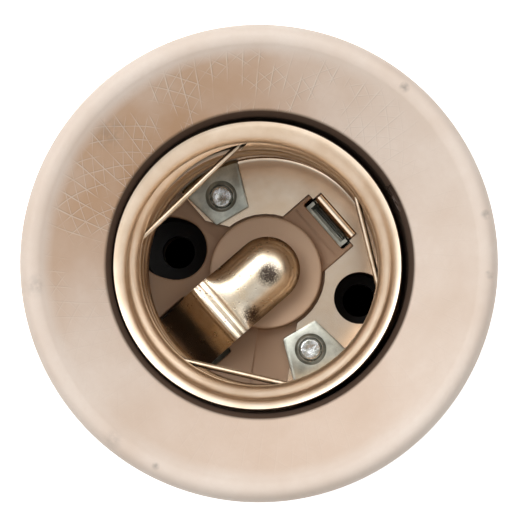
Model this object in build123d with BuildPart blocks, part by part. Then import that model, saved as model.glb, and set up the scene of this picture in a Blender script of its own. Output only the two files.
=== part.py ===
"""Porcelain lamp holder for a 40 mm screw cap, standing on its base with its mouth up.

The porcelain body carries a screw shell, a centre contact and, in two pockets
under the floor, the two wire terminals. The vertical axis of the shell is Z and the
base stands on Z = 0. X runs from the contact's leg (-X) to the shell's tab (+X).
"""

import os
from math import acos, cos, degrees, radians, sin, tan

from build123d import *

# Porcelain body
body_height = 71.0
base_radius = 27.5
flare_rise = 14.0
flare_drop = 9.0
rim_radius = 34.25
rim_band = 4.0
rim_crown_rise = 2.8
rim_crown_steps = 4
rim_inner_drop = 1.5
cone_radius = 22.6
cone_depth = 8.0
throat_radius = 21.7
throat_depth = 10.8

# Floor of the body, where the screw shell is seated
seat_height = 25.0
floor_step = 0.8
step_angle = -139.5
step_end_angle = 104.0
boss_radius = 8.9
boss_height = 3.5

# Screw shell, rolled from sheet, with its wall at the middle of the thread's depth
sheet = 0.5
wall_radius = 19.0
shell_height = 35.5
lip_radius = 21.0
lip_thickness = 1.3
corner_bevel = 1.3
open_side_gap = 5.5
floor_cut_radius = 9.45
floor_edge_x = -1.8
floor_cut_angle = -141.0
floor_cut_start_angle = -99.0
floor_corner_width = 2.2
floor_corner_length = 3.2

# Raised key of the body, and the slot in it for the shell's tab
tab_side_y = -0.45
key_reach = 13.3
key_width = 10.8
key_gap = 0.1
tab_slot_inner = 11.4
tab_slot_outer = 14.0
tab_slot_width = 9.5
tab_width = 8.2
tab_outer_x = 13.7
tab_root = 1.0

# Centre contact, one folded strip
contact_width = 10.4
contact_thickness = 0.8
contact_rise = 9.6
contact_arch = 1.4
contact_arch_steps = 2
contact_end_x = 0.4
contact_crease_x = -8.6
contact_slope = 50.0
contact_bend = 4.0
contact_knee_bend = 2.0
contact_foot_bend = 1.2
contact_leg_x = -18.95
contact_slot_inner = -12.3
contact_slot_outer = -19.8
contact_slot_width = 11.6
leaf_thickness = 0.5
leaf_width = 7.4
leaf_gap = 0.1
leaf_tip_x = -1.5
leaf_foot_rise = 1.4

# Terminals: M4 screws in tapped plates, with saddles that clamp the wires
screw_radius = 1.9
screw_clearance = 0.05
screw_tip_relief = 1.1
plate_thickness = 2.0
shell_plate_width = 10.6
pocket_width = 12.6
pocket_depth = 14.8
pocket_inner_x = 9.2
pocket_outer_x = 21.6
wire_notch_width = 7.0
wire_notch_height = 9.0
shell_terminal_x = 17.0
shell_plate_overhang = 4.0
contact_terminal_x = -15.0
contact_plate_length = 5.8
contact_foot_overhang = 4.3
contact_foot_width = 8.6
contact_narrow_rise = 2.2
foot_hole_radius = 2.2
contact_float = 0.3
saddle_length = 7.6
saddle_thickness = 1.0
saddle_lip = 0.8
saddle_lip_rise = 0.4
saddle_lip_gap = 0.25
lock_washer_radius = 3.3
lock_washer_thickness = 0.9
lock_washer_split = 0.8
terminal_head_radius = 3.5
terminal_head_height = 2.6
terminal_screw_past_plate = 1.2
driver_slot_width = 1.0
driver_slot_depth = 1.2
driver_slot_angle = 25.0

# Upright of the shell's terminal plate, which stands in the tab slot
clip_thickness = 0.6
clip_width = 8.4
clip_inner_x = 11.6
clip_top_gap = 0.8
clip_flange = 1.0
tab_window_gap = 0.2

# Screws that hold the shell, and the nut plates they pull down on its floor
shell_screw_circle = 14.1
shell_screw_angle = 79.3
shell_screw_head_radius = 4.0
shell_screw_head_height = 2.8
shell_screw_hole_radius = 1.98
shell_screw_well_radius = 4.8
shell_screw_well_depth = 8.0
shell_screw_tip_drop = 0.3
nut_plate_thickness = 2.0
nut_plate_angle = 32.0
nut_plate_inner = 10.45
nut_plate_outer = 17.6
nut_countersink_radius = 2.45
nut_plate_bevel = 0.25

# Holes that fix the holder down
fixing_spacing = 31.0
fixing_angle = -56.0
fixing_radius = 2.7
fixing_floor_thickness = 9.0
fixing_well_radius = 4.15
fixing_slot_radius = 4.95
fixing_slot_travel = 1.2

# Spring wire that locks the lamp
wire_radius = 0.4
wire_sides = 4
wire_bend = 1.6
wire_seat_gap = 0.05
wire_drop = 9.1
wire_chord_distance = 16.0
wire_chord_angles = (91.0, -27.0, -144.0)
wire_end_gap_angle = 20.0
wire_window_height = 2.2
wire_window_margin = 1.0

# Levels and radii that follow from the sizes above
raised_floor = seat_height + floor_step
shell_floor_top = seat_height + sheet
flare_top = body_height - flare_drop
lip_top = seat_height + shell_height
wire_height = lip_top - wire_drop
wire_centre_radius = wall_radius + sheet + wire_radius + wire_seat_gap
contact_top = seat_height + contact_rise
arm_centre_height = contact_top - contact_arch / 2 - contact_thickness / 2
contact_foot_height = pocket_depth - contact_float - plate_thickness - contact_thickness / 2
contact_narrow_height = pocket_depth + contact_narrow_rise
leaf_foot_height = pocket_depth + leaf_foot_rise
clip_top = seat_height - clip_top_gap
fixing_circle = fixing_spacing / 2
hole_radius = screw_radius + screw_clearance


def save(piece, name):
    """Labels a finished piece and writes it to its own file."""
    piece.label = name
    export_step(piece, f"parts/{name}.step")


def polar(radius, angle, height=0.0):
    """Point at a radius and an angle about the axis of the holder."""
    return (radius * cos(radians(angle)), radius * sin(radians(angle)), height)


def crown_point(step):
    """Point of the rim's crown: a half ellipse that starts outside and drops less inside."""
    angle = radians(180 * step / rim_crown_steps)
    drop = rim_crown_rise if cos(angle) > 0 else rim_inner_drop
    return (
        rim_radius - rim_band * (1 - cos(angle)) / 2,
        body_height - drop * (1 - sin(angle)),
    )


def strip_corners(shift):
    """Corners of the contact's centre line, from arm to foot, moved inwards by shift."""
    slope = radians(contact_slope)
    arm_x = contact_crease_x - contact_bend * tan(slope / 2)
    knee_z = arm_centre_height - (arm_x - contact_leg_x) * tan(slope)
    turn = radians(90 - contact_slope)
    return [
        (arm_x + shift * tan(slope / 2), arm_centre_height - shift),
        (contact_leg_x + shift, knee_z - shift * tan(turn / 2)),
    ]


def arch_sketch(first_step):
    """Arched cross-section of the contact's arm, from one step of its width to the edge."""
    half = contact_width / 2
    widths = [half * n / contact_arch_steps for n in range(first_step, contact_arch_steps + 1)]
    upper = [(y, contact_top - contact_arch * (y / half) ** 2) for y in widths]
    lower = [(y, z - contact_thickness) for y, z in upper]
    with BuildSketch() as section:
        with BuildLine():
            Polyline(*upper, *reversed(lower), close=True)
        make_face()
    return section.sketch


def lock_washer(x, y, top):
    """Spring washer under a screw's head, slit on one side, its top face at top."""
    with BuildPart() as washer:
        with BuildSketch(Plane.XY.offset(top - lock_washer_thickness)):
            with Locations((x, y)):
                Circle(lock_washer_radius)
                Circle(foot_hole_radius, mode=Mode.SUBTRACT)
                slit_align = (Align.MIN, Align.CENTER)
                Rectangle(
                    lock_washer_radius, lock_washer_split, align=slit_align, mode=Mode.SUBTRACT
                )
        extrude(amount=lock_washer_thickness)
    return washer.part


def slotted_screw(x, y, bearing, tip, head_radius, head_height):
    """Upright screw with its slotted head below the bearing height and its tip on top."""
    with BuildPart() as screw:
        with BuildSketch(Plane.XY.offset(bearing)):
            with Locations((x, y)):
                Circle(screw_radius)
        extrude(amount=tip - bearing)
        with BuildSketch(Plane.XY.offset(bearing - head_height)):
            with Locations((x, y)):
                Circle(head_radius)
        extrude(amount=head_height)
        with BuildSketch(Plane.XY.offset(bearing - head_height)):
            with Locations((x, y)):
                Rectangle(3 * head_radius, driver_slot_width, rotation=driver_slot_angle)
        extrude(amount=driver_slot_depth, mode=Mode.SUBTRACT)
    return screw.part


def wire_saddle(x, y, top):
    """Plate that clamps a wire, with a lip on each side that holds the foot above it."""
    with BuildPart() as saddle:
        lip_y = contact_foot_width / 2 + saddle_lip_gap
        with BuildSketch(Plane.XY.offset(top - saddle_thickness)):
            with Locations((x, y)):
                Rectangle(saddle_length, 2 * (lip_y + saddle_lip))
        extrude(amount=saddle_thickness)
        with BuildSketch(Plane.XY.offset(top)):
            with Locations((x, y)):
                Rectangle(saddle_length, 2 * (lip_y + saddle_lip))
                Rectangle(saddle_length, 2 * lip_y, mode=Mode.SUBTRACT)
        extrude(amount=saddle_lip_rise)
        with Locations((x, y, top)):
            Hole(foot_hole_radius, saddle_thickness)
    return saddle.part


# Porcelain body
with BuildPart() as porcelain_body:
    with BuildSketch(Plane.XZ):
        with BuildLine():
            Polyline(
                (base_radius, 0),
                (base_radius, flare_top - flare_rise),
                (rim_radius, flare_top),
                *[crown_point(step) for step in range(rim_crown_steps + 1)],
                (cone_radius, body_height - cone_depth),
                (throat_radius, body_height - throat_depth),
                (throat_radius, raised_floor),
                (boss_radius, raised_floor),
                (boss_radius, seat_height + boss_height),
                (0, seat_height + boss_height),
                (0, 0),
                close=True,
            )
        make_face()
    revolve(axis=Axis.Z)

    # Ledge that takes the shell's floor, around the key
    with BuildSketch(Plane.XY.offset(seat_height)):
        with BuildLine():
            sweep_angle = step_end_angle - step_angle
            ledge_edge = CenterArc((0, 0), throat_radius, step_angle, sweep_angle)
            Polyline(ledge_edge @ 1, (0, 0), ledge_edge @ 0)
        make_face()
        Circle(boss_radius, mode=Mode.SUBTRACT)
        with Locations((0, tab_side_y)):
            key_align = (Align.MIN, Align.CENTER)
            Rectangle(key_reach, key_width, align=key_align, mode=Mode.SUBTRACT)
    extrude(amount=floor_step, mode=Mode.SUBTRACT)

    # Slots for the shell's tab and the contact's leg, down into the pockets
    with BuildSketch(Plane.XY.offset(raised_floor)):
        tab_slot_x = (tab_slot_inner + tab_slot_outer) / 2
        with Locations((tab_slot_x, tab_side_y)):
            Rectangle(tab_slot_outer - tab_slot_inner, tab_slot_width)
        with Locations(((contact_slot_inner + contact_slot_outer) / 2, 0)):
            Rectangle(contact_slot_inner - contact_slot_outer, contact_slot_width)
    extrude(amount=-raised_floor, mode=Mode.SUBTRACT)

    # Terminal pockets, the reliefs over the screws' tips and the wire notches
    with BuildSketch(Plane.XY):
        pocket_x = (pocket_inner_x + pocket_outer_x) / 2
        with Locations((pocket_x, tab_side_y), (-pocket_x, 0)):
            Rectangle(pocket_outer_x - pocket_inner_x, pocket_width)
    extrude(amount=pocket_depth, mode=Mode.SUBTRACT)
    with BuildSketch(Plane.XY.offset(pocket_depth)):
        with Locations((shell_terminal_x, tab_side_y), (contact_terminal_x, 0)):
            Circle(screw_radius + screw_tip_relief)
    extrude(amount=terminal_screw_past_plate + screw_tip_relief, mode=Mode.SUBTRACT)
    with BuildSketch(Plane.XY):
        with Locations((pocket_outer_x, tab_side_y)):
            Rectangle(base_radius, wire_notch_width, align=(Align.MIN, Align.CENTER))
        with Locations((-pocket_outer_x, 0)):
            Rectangle(base_radius, wire_notch_width, align=(Align.MAX, Align.CENTER))
    extrude(amount=wire_notch_height, mode=Mode.SUBTRACT)

    # Holes and wells for the shell's screws
    with Locations(
        Plane(polar(shell_screw_circle, shell_screw_angle), z_dir=(0, 0, -1)),
        Plane(polar(shell_screw_circle, shell_screw_angle + 180), z_dir=(0, 0, -1)),
    ):
        CounterBoreHole(
            shell_screw_hole_radius, shell_screw_well_radius, shell_screw_well_depth, seat_height
        )

    # Fixing holes, with a round well on one side and a slotted one on the other
    with Locations(
        polar(fixing_circle, fixing_angle, seat_height),
        polar(fixing_circle, fixing_angle + 180, seat_height),
    ):
        Hole(fixing_radius, seat_height)
    with BuildSketch(Plane.XY.offset(fixing_floor_thickness)):
        with Locations(polar(fixing_circle, fixing_angle)):
            Circle(fixing_well_radius)
        with PolarLocations(fixing_circle, 1, fixing_angle + 180):
            SlotCenterToCenter(fixing_slot_travel, 2 * fixing_slot_radius)
    extrude(amount=raised_floor - fixing_floor_thickness, mode=Mode.SUBTRACT)
save(porcelain_body.part, "porcelain_body")

# Screw shell with its floor, wall, lip and folded tab
with BuildPart() as threaded_shell:
    lip_neck = lip_top - lip_thickness
    with BuildSketch(Plane.XZ):
        with BuildLine():
            Polyline(
                (0, seat_height),
                (wall_radius + sheet - corner_bevel, seat_height),
                (wall_radius + sheet, seat_height + corner_bevel),
                (wall_radius + sheet, lip_neck),
                (lip_radius, lip_neck),
                (lip_radius, lip_top),
                (wall_radius, lip_top),
                (wall_radius, shell_floor_top + corner_bevel),
                (wall_radius - corner_bevel, shell_floor_top),
                (0, shell_floor_top),
                close=True,
            )
        make_face()
    revolve(axis=Axis.Z)

    # The floor is cut away around the boss, the key and the contact's side
    with BuildSketch(Plane.XY.offset(seat_height)):
        Circle(floor_cut_radius)
        with Locations((0, tab_side_y)):
            key_align = (Align.MIN, Align.CENTER)
            Rectangle(key_reach + key_gap, key_width + 2 * key_gap, align=key_align)
        with BuildLine():
            start = polar(floor_cut_radius, floor_cut_start_angle)[:2]
            far = 2 * rim_radius
            cut_x = start[0] + far * cos(radians(floor_cut_angle))
            cut_y = start[1] + far * sin(radians(floor_cut_angle))
            Polyline(
                start,
                (cut_x, cut_y),
                (-far, cut_y),
                (-far, far),
                (floor_edge_x, far),
                (floor_edge_x, floor_cut_radius + floor_corner_length),
                (floor_edge_x + floor_corner_width, floor_cut_radius),
                (0, 0),
                close=True,
            )
        make_face()
    extrude(amount=sheet + open_side_gap, mode=Mode.SUBTRACT)

    # Holes in the floor for the shell's screws and the round fixing well
    with BuildSketch(Plane.XY.offset(seat_height)):
        with PolarLocations(shell_screw_circle, 2, shell_screw_angle):
            Circle(hole_radius)
        with Locations(polar(fixing_circle, fixing_angle)):
            Circle(fixing_well_radius)
    extrude(amount=sheet, mode=Mode.SUBTRACT)

    # Tab folded down through the slot and out under the terminal plate
    tab_bottom = pocket_depth - plate_thickness - sheet
    tab_end = shell_terminal_x + shell_plate_overhang
    with BuildSketch(Plane.XZ.offset(-tab_side_y)):
        with BuildLine():
            Polyline(
                (tab_outer_x + tab_root, shell_floor_top),
                (tab_outer_x - sheet / 2, shell_floor_top),
                (tab_outer_x - sheet, shell_floor_top - sheet / 2),
                (tab_outer_x - sheet, tab_bottom),
                (tab_end, tab_bottom),
                (tab_end, tab_bottom + sheet),
                (tab_outer_x, tab_bottom + sheet),
                (tab_outer_x, seat_height),
                (tab_outer_x + tab_root, seat_height),
                close=True,
            )
        make_face()
    extrude(amount=tab_width / 2, both=True)
    with BuildSketch(Plane.XY.offset(tab_bottom)):
        with Locations((shell_terminal_x, tab_side_y)):
            Circle(foot_hole_radius)
    extrude(amount=sheet, mode=Mode.SUBTRACT)

    # Windows in the wall, where the lock spring comes through
    window_half = (wire_centre_radius**2 - wire_chord_distance**2) ** 0.5 + wire_window_margin
    for chord_angle in wire_chord_angles:
        window_plane = Plane((0, 0, wire_height), x_dir=polar(1, chord_angle))
        with BuildSketch(window_plane):
            with Locations((wire_chord_distance - wire_window_margin, 0)):
                window_reach = wire_centre_radius - wire_chord_distance + wire_window_margin
                window_align = (Align.MIN, Align.CENTER)
                Rectangle(window_reach, 2 * window_half, align=window_align)
        extrude(amount=wire_window_height / 2, both=True, mode=Mode.SUBTRACT)
save(threaded_shell.part, "threaded_shell")

# Lock spring: one wire that lies around the shell's wall and crosses inside three times
with BuildPart() as lamp_lock_spring:
    chord_half_angle = degrees(acos(wire_chord_distance / wire_centre_radius))
    with BuildLine(Plane.XY.offset(wire_height)) as wire_line:
        wire_angle = wire_chord_angles[0] + chord_half_angle + wire_end_gap_angle
        for chord_angle in wire_chord_angles:
            turn = chord_angle + chord_half_angle - wire_angle
            CenterArc((0, 0), wire_centre_radius, wire_angle, turn)
            Line(
                polar(wire_centre_radius, chord_angle + chord_half_angle),
                polar(wire_centre_radius, chord_angle - chord_half_angle),
            )
            wire_angle = chord_angle - chord_half_angle
        CenterArc((0, 0), wire_centre_radius, wire_angle, -wire_end_gap_angle)
        fillet(wire_line.vertices(), wire_bend)
    wire_route = wire_line.wires()[0]
    with BuildSketch(Plane(wire_route @ 0, z_dir=wire_route % 0)):
        RegularPolygon(wire_radius, wire_sides)
    sweep(path=wire_route)
save(lamp_lock_spring.part, "lamp_lock_spring")

# Centre contact: arched arm with a round end, bent down through its slot to a foot
with BuildPart() as centre_contact:
    foot_end_x = contact_terminal_x + contact_foot_overhang
    with BuildLine(Plane.XZ) as strip_line:
        FilletPolyline(
            (contact_crease_x + contact_thickness, arm_centre_height),
            *strip_corners(0.0),
            (contact_leg_x, contact_foot_height),
            (foot_end_x, contact_foot_height),
            radius=[contact_bend, contact_knee_bend, contact_foot_bend],
        )
    strip_route = strip_line.wires()[0]
    with BuildSketch(Plane(strip_route @ 0, x_dir=(0, 0, 1), z_dir=strip_route % 0)):
        Rectangle(contact_thickness, contact_width)
    sweep(path=strip_route)
    arm_length = contact_end_x - contact_crease_x
    with BuildSketch(Plane.YZ.offset(contact_crease_x)):
        add(arch_sketch(-contact_arch_steps))
    extrude(amount=arm_length)
    with BuildSketch(Plane.YZ.offset(contact_end_x)):
        add(arch_sketch(0))
    revolve(axis=Axis((contact_end_x, 0, 0), (0, 0, -1)), revolution_arc=180)
    with BuildSketch(Plane.XY):
        Rectangle(2 * rim_radius, 2 * contact_width)
        Rectangle(2 * rim_radius, contact_foot_width, mode=Mode.SUBTRACT)
    extrude(amount=contact_narrow_height, mode=Mode.SUBTRACT)
    foot_top = contact_foot_height + contact_thickness / 2
    with Locations((contact_terminal_x, 0, foot_top)):
        Hole(foot_hole_radius, contact_thickness)
save(centre_contact.part, "centre_contact")

# Steel leaf that lies under the contact and pushes it up against the lamp
with BuildPart() as contact_backing_leaf:
    leaf_shift = (contact_thickness + leaf_thickness) / 2 + leaf_gap
    arch_shift = leaf_shift + leaf_gap
    with BuildLine(Plane.XZ) as leaf_line:
        FilletPolyline(
            (leaf_tip_x, arm_centre_height - arch_shift),
            *strip_corners(arch_shift),
            (contact_leg_x + arch_shift, leaf_foot_height),
            radius=[contact_bend - arch_shift, contact_knee_bend + arch_shift],
        )
    leaf_route = leaf_line.wires()[0]
    with BuildSketch(Plane(leaf_route @ 0, x_dir=(0, 0, 1), z_dir=leaf_route % 0)):
        Rectangle(leaf_thickness, leaf_width)
    sweep(path=leaf_route)
save(contact_backing_leaf.part, "contact_backing_leaf")

# Nut plates on the shell's floor, and the screws that pull them down
for side, turn in (("a", shell_screw_angle), ("b", shell_screw_angle + 180)):
    nut_plate_top = shell_floor_top + nut_plate_thickness
    half_angle = nut_plate_angle / 2
    with BuildPart() as shell_nut_plate:
        with BuildSketch(Plane.XY.offset(shell_floor_top).rotated((0, 0, turn))):
            with BuildLine():
                near = nut_plate_inner / cos(radians(half_angle))
                far = 2 * nut_plate_outer
                Polyline(
                    polar(near, half_angle),
                    polar(far, half_angle),
                    polar(far, -half_angle),
                    polar(near, -half_angle),
                    close=True,
                )
            make_face()
            Circle(nut_plate_outer, mode=Mode.INTERSECT)
        extrude(amount=nut_plate_thickness)
        chamfer(shell_nut_plate.edges().group_by(Axis.Z)[-1], nut_plate_bevel)
        with Locations(polar(shell_screw_circle, turn, nut_plate_top)):
            CounterSinkHole(hole_radius, nut_countersink_radius, nut_plate_thickness)
    save(shell_nut_plate.part, f"shell_nut_plate_{side}")

    screw_x, screw_y = polar(shell_screw_circle, turn)[:2]
    screw = slotted_screw(
        screw_x,
        screw_y,
        shell_screw_well_depth,
        nut_plate_top - shell_screw_tip_drop,
        shell_screw_head_radius,
        shell_screw_head_height,
    )
    save(screw, f"shell_screw_{side}")

# Terminal plate of the shell: tapped foot over the tab, and an upright in the tab slot
with BuildPart() as shell_terminal_plate:
    foot_low = pocket_depth - plate_thickness
    foot_length = shell_terminal_x + shell_plate_overhang - clip_inner_x
    with BuildSketch(Plane.XY.offset(foot_low)):
        with Locations((clip_inner_x, tab_side_y)):
            Rectangle(foot_length, shell_plate_width, align=(Align.MIN, Align.CENTER))
        with Locations((tab_outer_x - sheet / 2, tab_side_y)):
            window_x = sheet + 2 * tab_window_gap
            window_y = tab_width + 2 * tab_window_gap
            Rectangle(window_x, window_y, mode=Mode.SUBTRACT)
    extrude(amount=plate_thickness)
    with BuildSketch(Plane.XY.offset(foot_low)):
        with Locations((clip_inner_x, tab_side_y)):
            Rectangle(clip_thickness + clip_flange, clip_width, align=(Align.MIN, Align.CENTER))
        with Locations((clip_inner_x + clip_thickness, tab_side_y)):
            Rectangle(
                clip_flange,
                clip_width - 2 * clip_thickness,
                align=(Align.MIN, Align.CENTER),
                mode=Mode.SUBTRACT,
            )
    extrude(amount=clip_top - foot_low)
    with Locations((shell_terminal_x, tab_side_y, pocket_depth)):
        Hole(hole_radius, plate_thickness)
save(shell_terminal_plate.part, "shell_terminal_plate")

# Terminal plate of the contact: a tapped plate that lies on its foot
with BuildPart() as contact_terminal_plate:
    with BuildSketch(Plane.XY.offset(foot_top)):
        with Locations((contact_terminal_x, 0)):
            Rectangle(contact_plate_length, contact_foot_width)
    extrude(amount=plate_thickness)
    with Locations((contact_terminal_x, 0, foot_top + plate_thickness)):
        Hole(hole_radius, plate_thickness)
save(contact_terminal_plate.part, "contact_terminal_plate")

# Saddle, lock washer and screw of each terminal, hanging under its foot
terminals = (
    ("shell", shell_terminal_x, tab_side_y, tab_bottom, pocket_depth),
    ("contact", contact_terminal_x, 0.0, foot_top - contact_thickness, foot_top + plate_thickness),
)
for owner, place_x, place_y, clamp_top, plate_top in terminals:
    save(wire_saddle(place_x, place_y, clamp_top), f"{owner}_wire_saddle")
    washer_top = clamp_top - saddle_thickness
    save(lock_washer(place_x, place_y, washer_top), f"{owner}_terminal_washer")
    screw = slotted_screw(
        place_x,
        place_y,
        washer_top - lock_washer_thickness,
        plate_top + terminal_screw_past_plate,
        terminal_head_radius,
        terminal_head_height,
    )
    save(screw, f"{owner}_terminal_screw")
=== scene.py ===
"""Porcelain lamp holder, seen down its mouth: body, screw shell, lock spring, contact, fittings."""

from math import acos, cos, degrees, pi, radians, sin, tan

import bmesh
import bpy
import numpy as np
from mathutils import Matrix, Vector


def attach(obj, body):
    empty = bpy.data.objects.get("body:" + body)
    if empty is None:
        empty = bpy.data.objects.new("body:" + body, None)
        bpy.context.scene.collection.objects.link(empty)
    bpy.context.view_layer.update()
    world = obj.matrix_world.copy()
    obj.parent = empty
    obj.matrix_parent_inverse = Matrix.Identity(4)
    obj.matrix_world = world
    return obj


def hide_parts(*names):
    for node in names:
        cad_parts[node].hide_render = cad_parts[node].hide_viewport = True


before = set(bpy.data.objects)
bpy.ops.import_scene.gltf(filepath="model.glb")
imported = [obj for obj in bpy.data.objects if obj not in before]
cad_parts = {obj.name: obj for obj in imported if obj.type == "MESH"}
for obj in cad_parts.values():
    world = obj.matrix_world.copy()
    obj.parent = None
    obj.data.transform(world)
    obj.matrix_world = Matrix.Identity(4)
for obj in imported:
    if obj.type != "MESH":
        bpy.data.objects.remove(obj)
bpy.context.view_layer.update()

bl_info = {
    "name": "Porcelain Lamp Holder",
    "version": (1, 0, 0),
    "blender": (4, 5, 0),
    "location": "3D View > Sidebar > Lamp Holder",
    "description": "Dresses the lamp holder's frame with finished surfaces and materials",
    "category": "Add Mesh",
}

MM = 0.001

# Body of bare porcelain, in millimetres like every size below
BODY_HEIGHT = 71.0
BASE_RADIUS = 27.5
FLARE_LOW = 48.0
FLARE_TOP = 62.0
RIM_RADIUS = 34.25
RIM_BAND = 3.5
CROWN_OUTER_DROP = 2.8
CROWN_INNER_DROP = 1.2
CROWN_STEPS = 16
CROWN_TURN = 140.0
CONE_RADIUS = 22.6
CONE_END = 63.0
THROAT_RADIUS = 21.7
THROAT_TOP = 60.2
LEDGE = 25.0
RAISED_FLOOR = 25.8
LEDGE_START = -139.5
LEDGE_END = 104.0
BOSS_RADIUS = 8.9
BOSS_TOP = 28.5
BODY_COLUMNS = 192

# Key of the body with the slot for the tab, and the slot for the contact's leg
TAB_SIDE_Y = -0.45
KEY_REACH = 13.3
KEY_WIDTH = 10.8
KEY_GROOVE_X = 10.2
TAB_SLOT = (11.65, 14.0)
TAB_SLOT_WIDTH = 9.5
CONTACT_SLOT = (-19.8, -12.3)
CONTACT_SLOT_WIDTH = 11.6

# Pockets, notches, wells and holes of the body
POCKET_DEPTH = 14.8
POCKET_INNER = 9.2
POCKET_OUTER = 21.6
POCKET_WIDTH = 12.6
NOTCH_WIDTH = 7.0
NOTCH_HEIGHT = 9.0
SHELL_TERMINAL_X = 17.0
CONTACT_TERMINAL_X = -15.0
RELIEF_RADIUS = 3.0
RELIEF_HEIGHT = 2.3
SHELL_SCREW_CIRCLE = 14.1
SHELL_SCREW_ANGLE = 79.3
SHELL_SCREW_HOLE = 1.98
SHELL_SCREW_WELL = 4.8
SHELL_SCREW_WELL_DEPTH = 8.0
FIXING_CIRCLE = 15.5
FIXING_ANGLE = -56.0
FIXING_RADIUS = 2.7
FIXING_FLOOR = 9.0
ROUND_WELL_RADIUS = 4.15
SLOT_WELL_RADIUS = 4.95
SLOT_WELL_TRAVEL = 1.2

# Chip in the edge of the throat
CHIP_ANGLE = -14.5
CHIP_RADIUS = 21.9
CHIP_HEIGHT = 61.2
CHIP_SIZE = (0.7, 2.1, 1.6)

# Screw shell with the two-arc wave of a 40 mm lamp thread
SHEET = 0.5
MEAN_RADIUS = 19.0
THREAD_DEPTH = 0.9
THREAD_PITCH = 6.35
THREAD_ANGLE = -27.0
THREAD_HEIGHT = 51.4
THREAD_ARC = 59.1
FADE_TOP = (60.2, 58.0)
FUNNEL_LOW = 57.7
FADE_LOW = (33.5, 37.0)
SHELL_FLOOR = 25.5
LIP_TOP = 60.5
LIP_RADIUS = 21.35
SHELL_COLUMNS = 240
LEAN = (-0.41, 0.05)
LEAN_LOW = 28.0
FLOOR_CUT_RADIUS = 9.45
FLOOR_EDGE_X = -1.8
FLOOR_CORNER = (2.2, 3.2)
FLOOR_CUT_START = -99.0
FLOOR_CUT_ANGLE = -141.0
OPEN_SIDE_GAP = 5.5
TAB_WIDTH = 8.2
TAB_OUTER_X = 13.9
TAB_BEND = 1.4
TAB_NOTCH = 0.3
TAB_BOTTOM = 12.3
TAB_END = 21.0
FOOT_HOLE_RADIUS = 2.2

# Lock spring
WIRE_RADIUS = 0.45
WIRE_RING = 19.05
CHORDS = ((93.0, 15.2), (-27.0, 16.6), (-144.0, 16.2))
WIRE_END = 20.0
WINDOW_HEIGHT = 2.2
WINDOW_MARGIN = 0.6

# Centre contact
CONTACT_TOP = 34.6
CONTACT_HALF = 5.2
CONTACT_SHEET = 0.8
ARM_CENTRE_X = 0.4
CREASE_X = -8.6
LEG_X = -19.3
LEG_SLOPE = 50.0
FOOT_TOP = 12.5
FOOT_END_X = -10.7
FOOT_HALF = 4.3
NARROW_HEIGHT = 17.0

# Nut plates and screws
NUT_PLATE_THICKNESS = 2.0
NUT_PLATE_HALF_ANGLE = 16.0
NUT_PLATE_INNER = 10.45
NUT_PLATE_OUTER = 18.2
NUT_HOLE = 1.95
NUT_COUNTERSINK = 2.5
SCREW_RADIUS = 1.9
SCREW_PITCH = 0.7
SCREW_THREAD_DEPTH = 0.34
SCREW_SLOT_ANGLE = 25.0
SHELL_SCREW_HEAD = (4.0, 2.8)
TERMINAL_SCREW_HEAD = (3.5, 2.6)

# Camera, worked out from how the circles of the mouth shrink and shift with depth
CAMERA_PLACE = (-1.39, -17.61, 439.0)
CAMERA_TILT_RIGHT = -0.02872
CAMERA_TILT_DOWN = -0.04034
CAMERA_UP_ANGLE = 49.0
CAMERA_FOCAL = 181.1
CAMERA_SENSOR = 36.0

# Lamps and the room in reflections, each as (right of the picture, down it, up)
KEY_LAMP = (-300.0, -264.0, 655.0)
FILL_LAMP = (300.0, -220.0, 750.0)
LAMP_SIZE = 480.0
LAMP_AIM = (0.0, 0.0, 55.0)
DARK_OVERHEAD = (-0.11, 0.02, 1.0)
BRIGHT_WINDOW = (0.62, -0.62, 0.55)
DARK_SIDE = (0.33, 0.37, 0.87)
FLOOR_SIZE = 2400.0

# Marks: specks (radius, angle, height, size, weight), scratches (slant, gap, weight, breaks)
SPECKS = (
    (32.5, 9.0, 71.0, 0.9, 0.55),
    (33.0, -29.3, 70.6, 0.9, 0.5),
    (32.8, -44.2, 70.6, 0.8, 0.5),
    (32.4, -157.6, 70.9, 0.7, 0.45),
    (28.4, 97.8, 68.2, 3.2, 0.22),
    (32.0, 144.9, 71.0, 2.0, 0.2),
    (32.5, 189.7, 70.9, 1.8, 0.2),
)
SCRATCHES = ((0.12, 1.0, 1.0, 0.38), (1.05, 1.2, 0.8, 0.42), (-0.9, 1.4, 0.8, 0.42))
# Side of the cone with a brown cloud of painted shade, and a second side tinted darker
SHADED_SIDE = 94.0
DARKER_SIDE = -125.0
SCRATCHED_SIDE = 75.0
CONE_SLOPE_LENGTH = 1.31
SCRATCH_ARC = 26.0


def linear(colour):
    """Linear red, green, blue and alpha of an sRGB hex colour."""
    parts = np.array([int(colour[i:i + 2], 16) for i in (0, 2, 4)]) / 255
    values = np.where(parts <= 0.04045, parts / 12.92, ((parts + 0.055) / 1.055) ** 2.4)
    return (*values.tolist(), 1.0)


def stacked(*parts):
    """Arrays of numbers joined to one array of points."""
    return np.stack(np.broadcast_arrays(*parts), -1)


def polar(radius, angle, height):
    """Points at a radius, an angle in degrees and a height: r·cos a, r·sin a, z."""
    turn = np.radians(angle)
    return stacked(radius * np.cos(turn), radius * np.sin(turn), height)


def unit(vectors):
    """Vectors brought to a length of one."""
    return vectors / np.linalg.norm(vectors, axis=1, keepdims=True)


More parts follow.
